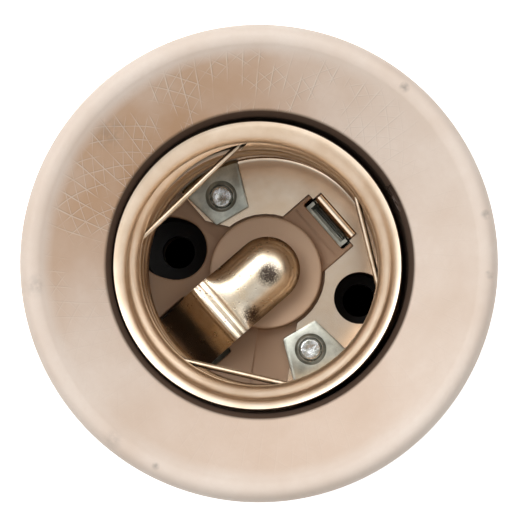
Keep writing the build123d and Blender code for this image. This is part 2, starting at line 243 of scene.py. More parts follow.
def rounded_path(corners, steps=6):
    """Path through corners (x, y, reach), each one a parabola: b(1-t)² + 2ct(1-t) + at²."""
    points = np.array([corner[:2] for corner in corners], float)
    t = np.linspace(0, 1, steps)[:, None]
    path = [points[:1]]
    for number in range(1, len(points) - 1):
        corner = points[number]
        reach = corners[number][2]
        if reach == 0:
            path.append(corner[None, :])
            continue
        to_last = points[number - 1] - corner
        to_next = points[number + 1] - corner
        before = corner + to_last * min(reach / np.linalg.norm(to_last), 0.5)
        after = corner + to_next * min(reach / np.linalg.norm(to_next), 0.5)
        path.append(before * (1 - t) ** 2 + 2 * corner * t * (1 - t) + after * t ** 2)
    path.append(points[-1:])
    return np.concatenate(path)


def resample(path, spacing):
    """Points at even steps along a path, by linear interpolation of its length."""
    steps = np.linalg.norm(np.diff(path, axis=0), axis=1)
    length = np.concatenate([[0], np.cumsum(steps)])
    along = np.linspace(0, length[-1], int(np.ceil(length[-1] / spacing)) + 1)
    return np.stack([np.interp(along, length, path[:, axis]) for axis in range(path.shape[1])], -1)


def grid_faces(rows, columns, closed=True):
    """Quads between neighbours in a grid of points, whose rows are closed to rings or open."""
    row = np.arange(rows - 1)[:, None]
    column = np.arange(columns if closed else columns - 1)[None, :]
    beside = (column + 1) % columns
    corners = stacked(
        row * columns + column,
        row * columns + beside,
        (row + 1) * columns + beside,
        (row + 1) * columns + column,
    )
    return corners.reshape(-1, 4).tolist()


def add_object(name, data):
    """Object in the scene with a mesh, a lamp or a camera."""
    piece = bpy.data.objects.new(name, data)
    bpy.context.scene.collection.objects.link(piece)
    return piece


def add_piece(name, points, faces, recalculate=True):
    """Object from points in millimetres and faces, with its doubles merged."""
    mesh = bpy.data.meshes.new(name)
    mesh.from_pydata((np.reshape(points, (-1, 3)) * MM).tolist(), [], faces)
    work = bmesh.new()
    work.from_mesh(mesh)
    bmesh.ops.remove_doubles(work, verts=work.verts, dist=0.002 * MM)
    bmesh.ops.dissolve_degenerate(work, edges=work.edges, dist=0.001 * MM)
    if recalculate:
        bmesh.ops.recalc_face_normals(work, faces=work.faces)
    work.to_mesh(mesh)
    work.free()
    return add_object(name, mesh)


def settle(piece):
    """Applies a piece's modifiers to its mesh."""
    bpy.context.view_layer.update()
    graph = bpy.context.evaluated_depsgraph_get()
    mesh = bpy.data.meshes.new_from_object(piece.evaluated_get(graph), depsgraph=graph)
    old = piece.data
    piece.modifiers.clear()
    piece.data = mesh
    bpy.data.meshes.remove(old)


def combine(piece, others, operation):
    """Joins pieces to one, or takes them away from it, and removes them."""
    group = bpy.data.collections.new("cutters")
    bpy.context.scene.collection.children.link(group)
    for other in others:
        group.objects.link(other)
    change = piece.modifiers.new("combine", "BOOLEAN")
    change.operation = operation
    change.operand_type = "COLLECTION"
    change.collection = group
    change.solver = "EXACT"
    settle(piece)
    for other in others:
        bpy.data.meshes.remove(other.data)
    bpy.data.collections.remove(group)


def smooth(piece, angle=32.0):
    """Shades a piece smooth, apart from edges sharper than the angle."""
    piece.data.shade_smooth()
    piece.data.set_sharp_from_angle(angle=radians(angle))


def round_outline(centre, size, corner, grow=0.0, turn=0.0, steps=10):
    """Rectangle with round corners: the corners' centres plus a quarter circle at each."""
    half = np.array(size) / 2 + grow
    radius = min(max(corner + grow, 0.02), half.min() - 0.001)
    angle = np.radians(np.linspace(0, 90, steps)[None, :] + np.arange(0, 360, 90)[:, None])
    signs = np.array([(1, 1), (-1, 1), (-1, -1), (1, -1)])[:, None, :]
    local = signs * (half - radius) + radius * np.stack([np.cos(angle), np.sin(angle)], -1)
    local = local.reshape(-1, 2)
    c, s = cos(radians(turn)), sin(radians(turn))
    return np.array(centre)[:2] + local @ np.array([(c, s), (-s, c)])


def loft(name, outlines, heights):
    """Closed solid through outlines of as many points, each lifted to its height."""
    rows = [np.column_stack([line, np.full(len(line), z)]) for line, z in zip(outlines, heights)]
    count = len(rows[0])
    faces = grid_faces(len(rows), count)
    faces.append(list(range(count))[::-1])
    faces.append(list(range((len(rows) - 1) * count, len(rows) * count)))
    return add_piece(name, np.array(rows), faces)


def prism(centre, size, corner, levels, turn=0.0):
    """Upright block with round corners, grown or shrunk at each level of (height, growth)."""
    outlines = [round_outline(centre, size, corner, grow, turn) for _, grow in levels]
    return loft("block", outlines, [height for height, _ in levels])


def drum(centre, radius, levels):
    """Upright cylinder, grown or shrunk at each level of (height, growth)."""
    return prism(centre, (2 * radius, 2 * radius), radius, levels)


def revolved(name, profile, columns):
    """Solid of a profile (r, z) turned about the Z axis: r·cos a, r·sin a, z."""
    angle = np.arange(columns) * 360 / columns
    points = polar(profile[:, :1], angle[None, :], profile[:, 1:])
    return add_piece(name, points, grid_faces(len(profile), columns))


def tube(name, path, radius, sides=14):
    """Round wire: path + r·(cos q·side + sin q·up), with its ends drawn in to a point."""
    tangent = unit(np.gradient(path, axis=0))
    side = unit(np.cross(tangent, (0.0, 0.0, 1.0)))
    up = np.cross(side, tangent)
    reach = np.full(len(path), radius)
    reach[[0, -1]] = 0.0
    q = np.linspace(0, 2 * pi, sides, endpoint=False)[None, :, None]
    ring = np.cos(q) * side[:, None, :] + np.sin(q) * up[:, None, :]
    points = path[:, None, :] + reach[:, None, None] * ring
    return add_piece(name, points, grid_faces(len(path), sides))


def thread_wave(turns):
    """Lamp thread as arcs that turn in and out by THREAD_ARC: -1 at a ridge, 1 at a valley."""
    phase = np.mod(turns, 1.0)
    edge = sin(radians(THREAD_ARC))
    bend = 1 - cos(radians(THREAD_ARC))
    near = np.minimum(phase, 1 - phase) * 4
    ridge = (1 - np.sqrt(1 - (np.minimum(near, 1) * edge) ** 2)) / bend - 1
    valley = 1 - (1 - np.sqrt(1 - (np.clip(2 - near, 0, 1) * edge) ** 2)) / bend
    return np.where(near < 1, ridge, valley)


def ridge_height(angle):
    """Height of the ridge that carries the wire: one pitch for each turn about the axis."""
    return THREAD_HEIGHT + THREAD_PITCH * (angle - THREAD_ANGLE) / 360


def from_picture(right, down, up):
    """Vector from its shares to the right of the picture, down it and up."""
    return polar(right, CAMERA_UP_ANGLE - 90, up) + polar(down, CAMERA_UP_ANGLE + 180, 0.0)


def lean(points):
    """Sideways shift that grows with height: the real shell leans a little in its throat."""
    share = np.maximum(points[..., 2:] - LEAN_LOW, 0) / (LIP_TOP - LEAN_LOW)
    return points + share * from_picture(*LEAN, 0.0)


def fade(value, ends):
    """Smooth step from 0 at the first end to 1 at the second."""
    t = np.clip((value - ends[0]) / (ends[1] - ends[0]), 0, 1)
    return t * t * (3 - 2 * t)


def add_node(tree, kind, inputs=None, **settings):
    """Adds a node with its settings: values go on its sockets and sockets are linked to them."""
    node = tree.nodes.new(kind)
    for name, value in settings.items():
        setattr(node, name, value)
    for key, value in (inputs or {}).items():
        if isinstance(value, bpy.types.NodeSocket):
            tree.links.new(value, node.inputs[key])
        else:
            node.inputs[key].default_value = value
    return node


def empty_tree(owner):
    """Node tree of a material or a world, cleared."""
    owner.use_nodes = True
    owner.node_tree.nodes.clear()
    return owner.node_tree


def new_material(name, **constants):
    """Material with one Principled shader, whose constant values are set on its sockets."""
    material = bpy.data.materials.new(name)
    tree = empty_tree(material)
    shader = add_node(tree, "ShaderNodeBsdfPrincipled")
    for key, value in constants.items():
        shader.inputs[key.replace("_", " ")].default_value = value
    add_node(tree, "ShaderNodeOutputMaterial", {"Surface": shader.outputs[0]})
    place = add_node(tree, "ShaderNodeTexCoord").outputs["Object"]
    return material, tree, shader, place


def noise(tree, place, size, detail=3.0, roughness=0.55):
    """Noise whose grains are about a size in millimetres."""
    inputs = {"Vector": place, "Scale": 1 / (size * MM), "Detail": detail, "Roughness": roughness}
    return add_node(tree, "ShaderNodeTexNoise", inputs).outputs["Fac"]


def ramp(tree, value, low, high, to_low=0.0, to_high=1.0):
    """Value carried from one range to another and held at its ends."""
    inputs = {0: value, 1: low, 2: high, 3: to_low, 4: to_high}
    return add_node(tree, "ShaderNodeMapRange", inputs, clamp=True).outputs[0]


def calculate(tree, operation, first, second=0.0, third=0.0):
    """Result of one operation on up to three numbers."""
    inputs = {0: first, 1: second, 2: third}
    return add_node(tree, "ShaderNodeMath", inputs, operation=operation).outputs[0]


def times(tree, first, second):
    """Product of two numbers."""
    return calculate(tree, "MULTIPLY", first, second)


def larger(tree, first, second):
    """The larger of two numbers, or the second where the first is still missing."""
    return second if first is None else calculate(tree, "MAXIMUM", first, second)


def blend_colour(tree, factor, first, second):
    """Two colours mixed by a factor."""
    inputs = {"Factor": factor, 6: first, 7: second}
    return add_node(tree, "ShaderNodeMix", inputs, data_type="RGBA").outputs[2]


def tint(tree, colour, amount, hex_colour):
    """Colour with an sRGB hex colour laid over it by an amount."""
    return blend_colour(tree, amount, colour, linear(hex_colour))


def vector_result(tree, operation, first, second):
    """Number that an operation gives for two vectors."""
    node = add_node(tree, "ShaderNodeVectorMath", {0: first, 1: second}, operation=operation)
    return node.outputs["Value"]


def band(tree, value, start, full, *levels):
    """Ramp between two sizes in millimetres."""
    return ramp(tree, value, start * MM, full * MM, *levels)


def towards_side(tree, angle, side):
    """Cosine of the angle between a place's direction from the axis and a side in degrees."""
    return calculate(tree, "COSINE", calculate(tree, "SUBTRACT", angle, radians(side)))


def clouded(tree, cloud, ends, clean, worn):
    """Two colours mixed by a cloudy noise, between two of its values."""
    return blend_colour(tree, ramp(tree, cloud, *ends), clean, worn)


def surface(tree, shader, colour, layers, roughness=None):
    """Gives a shader its colour, bumps and, where it varies, roughness (noise, spread, base)."""
    tree.links.new(colour, shader.inputs["Base Color"])
    if roughness is not None:
        tree.links.new(calculate(tree, "MULTIPLY_ADD", *roughness), shader.inputs["Roughness"])
    add_bump(tree, shader, layers)


def add_bump(tree, shader, layers):
    """Chain of bumps: each layer is (height, depth in millimetres, strength)."""
    normal = None
    for height, depth, strength in layers:
        inputs = {"Height": height, "Distance": depth * MM, "Strength": strength}
        if normal is not None:
            inputs["Normal"] = normal
        normal = add_node(tree, "ShaderNodeBump", inputs).outputs[0]
    tree.links.new(normal, shader.inputs["Normal"])


def around_axis(tree, place):
    """Radius, angle and height of a place about the Z axis."""
    parts = add_node(tree, "ShaderNodeSeparateXYZ", {0: place}).outputs
    angle = calculate(tree, "ARCTAN2", parts[1], parts[0])
    squares = calculate(tree, "MULTIPLY_ADD", parts[0], parts[0], times(tree, parts[1], parts[1]))
    return calculate(tree, "SQRT", squares), angle, parts[2]


def spots(tree, place, centres, soft):
    """Strongest of soft spots: each centre is (point in millimetres, radius, weight)."""
    total = None
    for point, radius, weight in centres:
        target = tuple(float(value) * MM for value in point)
        distance = vector_result(tree, "DISTANCE", place, target)
        spot = ramp(tree, distance, radius * MM * (1 - soft), radius * MM, weight, 0.0)
        total = larger(tree, total, spot)
    return total


def bare_porcelain(settings):
    """Bare electrical porcelain, pressed and fired with no glaze.

    Its skin is dull and faintly grainy, stained by handling, and cross-hatched with hair
    scratches on the upper part of the cone, where the tool that pressed it was dressed.
    Painted shade darkens one side of the cone, its throat, its low floors and its wells, and
    painted warm bounce light tints it low inside.
    """
    material, tree, shader, place = new_material("bare_porcelain", Roughness=0.58, IOR=1.5)
    radius, angle, height = around_axis(tree, place)
    cloud = noise(tree, place, 14, 4)
    colour = clouded(tree, cloud, (0.35, 0.7), settings.light_colour, settings.warm_colour)
    fine = ramp(tree, noise(tree, place, 1.1, 5, 0.7), 0.3, 0.75, 0.0, 0.35)
    colour = blend_colour(tree, fine, colour, settings.warm_colour)

    # Painted shade as a brown cloud on one side of the cone, a darker tint towards a second side, and
    # painted warm bounce light and painted shade low in the throat
    cone = times(tree, band(tree, radius, 30.8, 29.4), band(tree, height, 60, 63))
    # Painted shade on one side of the cone, broken by a cloud
    painted_shade = ramp(tree, towards_side(tree, angle, SHADED_SIDE), 0.1, 1.0, 0.0, 0.9)
    painted_shade = times(tree, painted_shade, ramp(tree, cloud, 0.3, 0.62, 0.5, 1.0))
    below = ramp(tree, towards_side(tree, angle, DARKER_SIDE), 0.5, 1.0, 0.0, 0.3)
    colour = tint(tree, colour, times(tree, larger(tree, painted_shade, below), cone), "C69D78")
    inside = times(tree, band(tree, radius, 24, 22), band(tree, height, 20, 23))
    # Painted warm bounce light and painted shade low inside the throat
    colour = tint(tree, colour, times(tree, band(tree, height, 44, 30), inside), "EAC9AA")
    # Painted shade on the low floors inside the throat
    low_floor_shade = times(tree, band(tree, height, 28.2, 27, 0.0, 0.9), inside)
    colour = tint(tree, colour, low_floor_shade, "C4A183")

    # Pale scratches on the cone, each with a painted shadow along one edge
    along = times(tree, angle, SCRATCH_ARC * MM)
    out = times(tree, radius, CONE_SLOPE_LENGTH)
    bend = noise(tree, place, 22, 2)
    lines = None
    edges = None
    for slant, gap, weight, broken in SCRATCHES:
        path = calculate(tree, "MULTIPLY_ADD", out, slant, along)
        turn = times(tree, path, 2 * pi / (settings.scratch_spacing * gap))
        turn = calculate(tree, "MULTIPLY_ADD", bend, 9.0, turn)
        breaks = ramp(tree, noise(tree, place, 4.5, 1), broken, broken + 0.16, 0.0, weight)
        line = ramp(tree, calculate(tree, "SINE", turn), 0.96, 1.0)
        lines = larger(tree, lines, times(tree, line, breaks))
        # Painted shadow beside each scratch
        beside = calculate(tree, "SINE", calculate(tree, "ADD", turn, 0.36))
        edges = larger(tree, edges, times(tree, ramp(tree, beside, 0.96, 1.0), breaks))
    zone = ramp(tree, towards_side(tree, angle, SCRATCHED_SIDE), 0.0, 0.7, 0.15, 1.0)
    zone = times(tree, cone, zone)
    lines = times(tree, lines, zone)
    # Painted shadow along the scratches
    colour = tint(tree, colour, times(tree, times(tree, edges, zone), 0.3), "8F7663")
    colour = tint(tree, colour, times(tree, lines, 0.5), "F6ECE0")

    # Grey specks and smudges from handling, sooty brown and painted shade in the throat, and painted
    # shade in the wells
    centres = [(polar(*speck[:3]), *speck[3:]) for speck in SPECKS]
    specks = spots(tree, place, centres, 0.8)
    specks = times(tree, specks, ramp(tree, noise(tree, place, 0.9), 0.3, 0.6))
    colour = tint(tree, colour, specks, "5B5752")
    # Sooty brown and painted shade on the throat's steep band
    throat = times(tree, band(tree, radius, 24, 23), band(tree, radius, 20.6, 21.2))
    throat = times(tree, throat, band(tree, height, 23, 26))
    soot_and_shade = times(tree, band(tree, height, 63.1, 62.3, 0.0, 0.97), throat)
    colour = tint(tree, colour, soot_and_shade, "3C281A")
    # Painted shade, nearly black, in the fixing wells
    wells = [(polar(FIXING_CIRCLE, FIXING_ANGLE + turn, 15.0), 10.5, 0.98) for turn in (0, 180)]
    colour = tint(tree, colour, spots(tree, place, wells, 0.25), "120E0B")
    grain = noise(tree, place, 0.35, 4, 0.7)
    grooves = calculate(tree, "SUBTRACT", 1.0, lines)
    surface(tree, shader, colour, [(cloud, 0.25, 0.25), (grain, 0.05, 0.35), (grooves, 0.03, 0.3)])
    return material


def satin_nickel(settings):
    """Nickel plate over rolled copper sheet, drawn round by the rolls.

    It is warm and satin, with soft cloudy patches, and painted shade darkens it far down in the
    thread.
    """
    material, tree, shader, place = new_material("satin_nickel", Metallic=1.0)
    height = around_axis(tree, place)[2]
    cloud = noise(tree, place, 4.0, 4)
    colour = clouded(tree, cloud, (0.35, 0.7), settings.shell_colour, settings.shell_shade)
    # Painted shade far down the wall, above the floor
    deep_shade = times(tree, band(tree, height, 55, 49, 0.0, 0.55), band(tree, height, 26.5, 29))
    colour = tint(tree, colour, deep_shade, "8A6848")
    wall = band(tree, height, 27, 32, 0.13, 0.27)
    layers = [(noise(tree, place, 4.0, 1), 0.05, 0.3)]
    surface(tree, shader, colour, layers, (cloud, 0.1, wall))
    return material


def polished_nickel(settings):
    """Nickel plate over a pressed brass strip, polished and worn by lamps.

    It is pale gold and nearly a mirror, pitted by arcing, with two dark patches, one on its
    dome and one on its arm.
    """
    material, tree, shader, place = new_material("polished_nickel", Metallic=1.0)
    cloud = noise(tree, place, 2.4, 4)
    cells = {"Vector": place, "Scale": 1 / (0.75 * MM)}
    pits = ramp(tree, add_node(tree, "ShaderNodeTexVoronoi", cells).outputs["Distance"], 0.2, 0.1)
    pits = times(tree, pits, ramp(tree, noise(tree, place, 3.0), 0.47, 0.55))
    # Two dark patches, on the dome and on the arm
    dark_patches = spots(tree, place, [
        ((0.2, -0.8, CONTACT_TOP), 2.5, 1.0),
        ((-6.1, -3.9, CONTACT_TOP - 0.7), 2.2, 0.95),
    ], 0.8)
    dark_patches = times(tree, dark_patches, ramp(tree, noise(tree, place, 0.22, 2), 0.3, 0.55, 0.35, 1.0))
    colour = clouded(tree, cloud, (0.3, 0.75), settings.contact_colour, settings.contact_shade)
    colour = tint(tree, colour, ramp(tree, dark_patches, 0.1, 0.7, 0.0, 0.92), "3F3028")
    colour = tint(tree, colour, times(tree, pits, 0.8), "3A2C1E")
    layers = [(cloud, 0.03, 0.3), (calculate(tree, "SUBTRACT", 1.0, pits), 0.03, 0.6)]
    surface(tree, shader, colour, layers, (cloud, 0.16, 0.17))
    return material


def drawn_wire(settings):
    """Nickelled spring wire, drawn through a die: bright, with streaks too fine to see."""
    material, tree, shader, place = new_material("drawn_wire", Metallic=1.0, Roughness=0.3)
    cloud = noise(tree, place, 1.6)
    colour = clouded(tree, cloud, (0.35, 0.7), settings.wire_colour, linear("BBA78E"))
    surface(tree, shader, colour, [(noise(tree, place, 0.5), 0.01, 0.4)])
    return material


def zinc_plate(settings):
    """Zinc plate over punched steel, passivated: grey with a green cast, dull and spangled."""
    material, tree, shader, place = new_material("zinc_plate", Metallic=1.0)
    cloud = noise(tree, place, 1.8, 4)
    grain = noise(tree, place, 0.3, 4, 0.7)
    colour = clouded(tree, cloud, (0.35, 0.68), settings.zinc_colour, settings.zinc_shade)
    colour = tint(tree, colour, ramp(tree, grain, 0.55, 0.75, 0.0, 0.4), "6D6C66")
    layers = [(grain, 0.02, 0.5), (cloud, 0.04, 0.3)]
    surface(tree, shader, colour, layers, (grain, 0.25, 0.26))
    return material


def bright_screw(settings):
    """Steel screw, zinc plated and rubbed bright at its tip."""
    material, tree, shader, place = new_material("bright_screw", Metallic=1.0)
    cloud = noise(tree, place, 0.9, 4)
    colour = clouded(tree, cloud, (0.35, 0.65), settings.screw_colour, settings.zinc_shade)
    layers = [(noise(tree, place, 0.7, 3), 0.12, 0.6)]
    surface(tree, shader, colour, layers, (cloud, 0.3, 0.1))
    return material


def blued_steel():
    """Hardened spring steel, tempered and oiled: a dark even grey."""
    material, tree, shader, place = new_material("blued_steel", Metallic=1.0)
    cloud = noise(tree, place, 1.5, 3)
    colour = clouded(tree, cloud, (0.35, 0.7), linear("8E8F8F"), linear("6A6B6E"))
    surface(tree, shader, colour, [(noise(tree, place, 0.4), 0.01, 0.4)], (cloud, 0.2, 0.22))
    return material


def coat(piece, material):
    """Gives a piece its material."""
    piece.data.materials.clear()
    piece.data.materials.append(material)


def dress(piece, body, node, material):
    """Gives a new piece its material and body, in place of a node of the frame."""
    coat(piece, material)
    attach(piece, body)
    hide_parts(node)


def body_profile():
    """Outline of the body (r, z): base, side, flare, elliptic crown, cone, throat, boss."""
    turn = np.radians(np.linspace(0, CROWN_TURN, CROWN_STEPS))
    drop = np.where(np.cos(turn) > 0, CROWN_OUTER_DROP, CROWN_INNER_DROP)
    crown_r = RIM_RADIUS - RIM_BAND * (1 - np.cos(turn)) / 2
    crown_z = BODY_HEIGHT - drop * (1 - np.sin(turn))
    crown = [(r, z, 0.0) for r, z in zip(crown_r, crown_z)]
    corners = [
        (0, 0, 0),
        (BASE_RADIUS, 0, 0.8),
        (BASE_RADIUS, FLARE_LOW, 5.0),
        (RIM_RADIUS, FLARE_TOP, 3.0),
        *crown,
        (CONE_RADIUS, CONE_END, 0.35),
        (THROAT_RADIUS, THROAT_TOP, 0.6),
        (THROAT_RADIUS, LEDGE, 0.5),
        (BOSS_RADIUS, LEDGE, 0.4),
        (BOSS_RADIUS, BOSS_TOP, 0.55),
        (0, BOSS_TOP, 0),
    ]
    return rounded_path(corners)


def chip_cutter():
    """Lump that breaks the throat's edge: an ellipsoid with a wavy radius, turned to its place."""
    across = np.radians(np.linspace(0, 180, 13))[:, None]
    about = np.radians(np.arange(0, 360, 15))[None, :]
    wobble = 1 + 0.16 * np.sin(3 * about + 4 * across) * np.sin(across)
    shape = stacked(
        CHIP_SIZE[0] * wobble * np.sin(across) * np.cos(about),
        CHIP_SIZE[1] * wobble * np.sin(across) * np.sin(about),
        CHIP_SIZE[2] * wobble * np.cos(across),
    )
    c, s = cos(radians(CHIP_ANGLE)), sin(radians(CHIP_ANGLE))
    turned = shape @ np.array([(c, s, 0), (-s, c, 0), (0, 0, 1)])
    points = turned + polar(CHIP_RADIUS, CHIP_ANGLE, CHIP_HEIGHT)
    return add_piece("chip", points, grid_faces(13, 24))


def cut_from_below(depth):
    """Levels of a cut in the base, whose edge is broken."""
    return [(-1, 0.9), (0.5, 0), (depth, 0)]


def fixing_well(edge):
    """Levels of a fixing screw's well, whose edge is broken at a height."""
    return [(FIXING_FLOOR, 0), (edge - 0.2, 0), (edge, 0.2), (RAISED_FLOOR + 1, 1.2)]


def make_body():
    """Revolved body with its raised floor and key, cut by pockets, slots, wells and holes."""
    body = revolved("lamp_holder_body", body_profile(), BODY_COLUMNS)
    angles = np.linspace(LEDGE_END, 360 + LEDGE_START, 40)
    wedge = np.concatenate([polar(THROAT_RADIUS + 0.6, angles, 0)[:, :2], [(0.0, 0.0)]])
    raised = loft("raised", [wedge, wedge], [LEDGE - 0.5, RAISED_FLOOR])
    key_levels = [(LEDGE - 0.5, 0), (RAISED_FLOOR - 0.15, 0), (RAISED_FLOOR, -0.15)]
    key = prism((KEY_REACH / 2, TAB_SIDE_Y), (KEY_REACH, KEY_WIDTH), 0.25, key_levels)
    combine(body, [raised, key], "UNION")

    above = RAISED_FLOOR + 1
    slot_levels = [(-1, 0), (RAISED_FLOOR - 0.15, 0), (RAISED_FLOOR, 0.15), (above, 1.0)]
    pocket_x = (POCKET_INNER + POCKET_OUTER) / 2
    pocket_size = (POCKET_OUTER - POCKET_INNER, POCKET_WIDTH)
    pocket_levels = cut_from_below(POCKET_DEPTH)
    notch_levels = cut_from_below(NOTCH_HEIGHT)
    notch_size = (BASE_RADIUS, NOTCH_WIDTH)
    notch_x = POCKET_OUTER - 1 + BASE_RADIUS / 2
    relief_levels = [(POCKET_DEPTH - 1, 0), (POCKET_DEPTH + RELIEF_HEIGHT, 0)]
    groove_levels = [(RAISED_FLOOR - 0.3, 0), (above, 0)]
    tab_x = sum(TAB_SLOT) / 2
    tab_size = (TAB_SLOT[1] - TAB_SLOT[0], TAB_SLOT_WIDTH)
    leg_x = sum(CONTACT_SLOT) / 2
    leg_size = (CONTACT_SLOT[1] - CONTACT_SLOT[0], CONTACT_SLOT_WIDTH)
    cutters = [
        prism((tab_x, TAB_SIDE_Y), tab_size, 0.3, slot_levels),
        prism((KEY_GROOVE_X, TAB_SIDE_Y), (0.35, TAB_SLOT_WIDTH), 0.05, groove_levels),
        prism((leg_x, 0), leg_size, 0.5, slot_levels),
        prism((pocket_x, TAB_SIDE_Y), pocket_size, 1.0, pocket_levels),
        prism((-pocket_x, 0), pocket_size, 1.0, pocket_levels),
        prism((notch_x, TAB_SIDE_Y), notch_size, 0.5, notch_levels),
        prism((-notch_x, 0), notch_size, 0.5, notch_levels),
        drum((SHELL_TERMINAL_X, TAB_SIDE_Y), RELIEF_RADIUS, relief_levels),
        drum((CONTACT_TERMINAL_X, 0), RELIEF_RADIUS, relief_levels),
        chip_cutter(),
    ]
    for turn in (0, 180):
        place = polar(SHELL_SCREW_CIRCLE, SHELL_SCREW_ANGLE + turn, 0)
        cutters.append(drum(place, SHELL_SCREW_WELL, cut_from_below(SHELL_SCREW_WELL_DEPTH)))
        cutters.append(drum(place, SHELL_SCREW_HOLE, [(SHELL_SCREW_WELL_DEPTH - 1, 0), (above, 0)]))
        place = polar(FIXING_CIRCLE, FIXING_ANGLE + turn, 0)
        cutters.append(drum(place, FIXING_RADIUS, cut_from_below(FIXING_FLOOR + 1)))
    place = polar(FIXING_CIRCLE, FIXING_ANGLE, 0)
    cutters.append(drum(place, ROUND_WELL_RADIUS, fixing_well(LEDGE)))
    place = polar(FIXING_CIRCLE, FIXING_ANGLE + 180, 0)
    size = (2 * SLOT_WELL_RADIUS + SLOT_WELL_TRAVEL, 2 * SLOT_WELL_RADIUS)
    levels = fixing_well(RAISED_FLOOR)
    cutters.append(prism(place, size, SLOT_WELL_RADIUS, levels, FIXING_ANGLE))
    combine(body, cutters, "DIFFERENCE")
    smooth(body)
    return body


def shell_path():
    """Inner outline of the shell (r, z): floor, bent corner, wall and the funnel up to its lip."""
    corners = [
        (7.5, SHELL_FLOOR, 0),
        (MEAN_RADIUS, SHELL_FLOOR, 1.0),
        (MEAN_RADIUS, FUNNEL_LOW, 1.6),
        (19.85, LIP_TOP - 0.95, 1.1),
        (LIP_RADIUS - 0.5, LIP_TOP - 0.12, 0.2),
        (LIP_RADIUS - 0.15, LIP_TOP, 0),
    ]
    return resample(rounded_path(corners), 0.35)


def make_shell(settings):
    """Sheet whose wall swings by the thread's wave, with its floor, windows and tab."""
    path = shell_path()
    angle = np.arange(SHELL_COLUMNS)[None, :] * 360 / SHELL_COLUMNS
    radius, height = path[:, :1], path[:, 1:]
    swing = thread_wave((height - ridge_height(angle)) / THREAD_PITCH)
    swing = swing * fade(height, FADE_TOP) * fade(height, FADE_LOW)
    swing = swing * settings.thread_depth / MM
    points = lean(polar(radius + swing, angle, height))
    faces = grid_faces(len(path), SHELL_COLUMNS)
    shell = add_piece("rolled_screw_shell", points, faces, False)
    wall = shell.modifiers.new("sheet", "SOLIDIFY")
    wall.thickness = settings.sheet
    wall.offset = -1.0
    wall.use_even_offset = False
    settle(shell)

    key_size = (KEY_REACH + 0.1, KEY_WIDTH + 0.2)
    key_levels = [(SHELL_FLOOR - 2, 0), (SHELL_FLOOR + 2, 0)]
    start = polar(FLOOR_CUT_RADIUS, FLOOR_CUT_START, 0)[:2]
    far = 60.0
    cut = start + polar(far, FLOOR_CUT_ANGLE, 0)[:2]
    notch_x = TAB_OUTER_X + TAB_BEND - SHEET / 2 - 1
    open_side = np.array([
        start,
        cut,
        (-far, cut[1]),
        (-far, far),
        (FLOOR_EDGE_X, far),
        (FLOOR_EDGE_X, FLOOR_CUT_RADIUS + FLOOR_CORNER[1]),
        (FLOOR_EDGE_X + FLOOR_CORNER[0], FLOOR_CUT_RADIUS),
        (0, 0),
    ])
    cutters = [
        drum((0, 0), FLOOR_CUT_RADIUS, key_levels),
        prism((key_size[0] / 2, TAB_SIDE_Y), key_size, 0.2, key_levels),
        prism((notch_x, TAB_SIDE_Y), (2, TAB_WIDTH + 2 * TAB_NOTCH), 0.2, key_levels),
        loft("open_side", [open_side, open_side], [LEDGE - 1, LEDGE + OPEN_SIDE_GAP]),
        drum(polar(FIXING_CIRCLE, FIXING_ANGLE, 0), ROUND_WELL_RADIUS, key_levels),
    ]
    for chord, distance in CHORDS:
        half = (WIRE_RING**2 - distance**2) ** 0.5 + WINDOW_MARGIN
        low = ridge_height(chord) - WINDOW_HEIGHT / 2
        levels = [(low, 0), (low + WINDOW_HEIGHT, 0)]
        reach = 22.5 - distance + WINDOW_MARGIN
        centre = polar(distance - WINDOW_MARGIN + reach / 2, chord, 0)
        cutters.append(prism(centre, (reach, 2 * half), 0.3, levels, chord))
    combine(shell, cutters, "DIFFERENCE")
    tab_corners = [
        (TAB_OUTER_X + 1.5, SHELL_FLOOR - SHEET / 2, 0),
        (TAB_OUTER_X - SHEET / 2, SHELL_FLOOR - SHEET / 2, TAB_BEND),
        (TAB_OUTER_X - SHEET / 2, TAB_BOTTOM + SHEET / 2, 0.5),
        (TAB_END, TAB_BOTTOM + SHEET / 2, 0),
    ]
    tab = strip("tab", rounded_path(tab_corners), TAB_WIDTH / 2, SHEET, TAB_SIDE_Y)
    combine(shell, [tab], "UNION")
    smooth(shell, 40)
    return shell


def strip(name, path, half_width, thickness, centre_y=0.0):
    """Sheet that follows a path (x, z): a row of four corners around each point of it."""
    tangent = unit(np.gradient(path, axis=0))
    normal = np.stack([-tangent[:, 1], tangent[:, 0]], -1) * thickness / 2
    rows = []
    for side, lift in ((-1, 1), (1, 1), (1, -1), (-1, -1)):
        moved = path + lift * normal
        across = np.full(len(path), centre_y + side * half_width)
        rows.append(np.stack([moved[:, 0], across, moved[:, 1]], -1))
    points = np.stack(rows, 1)
    faces = grid_faces(len(path), 4)
    faces.append([3, 2, 1, 0])
    faces.append([len(path) * 4 - 4 + n for n in range(4)])
    return add_piece(name, points, faces)


def make_wire():
    """Wire that climbs with the thread and crosses inside on three chords, its bends averaged."""
    angles = [CHORDS[0][0] + degrees(acos(CHORDS[0][1] / WIRE_RING)) + WIRE_END]
    for chord, distance in CHORDS:
        half = degrees(acos(distance / WIRE_RING))
        angles.extend(np.linspace(angles[-1], chord + half, 24)[1:])
        angles.append(chord - half)
    angles.extend(np.linspace(angles[-1], angles[-1] - WIRE_END, 16)[1:])
    angles = np.array(angles)
    path = lean(resample(polar(WIRE_RING, angles, ridge_height(angles)), 0.3))
    window = np.hanning(9)[1:-1]
    window /= window.sum()
    padded = np.pad(path, ((3, 3), (0, 0)), mode="edge")
    path = np.stack([np.convolve(padded[:, axis], window, mode="valid") for axis in range(3)], -1)
    wire = tube("lock_spring_wire", path, WIRE_RADIUS)
    smooth(wire, 60)
    return wire


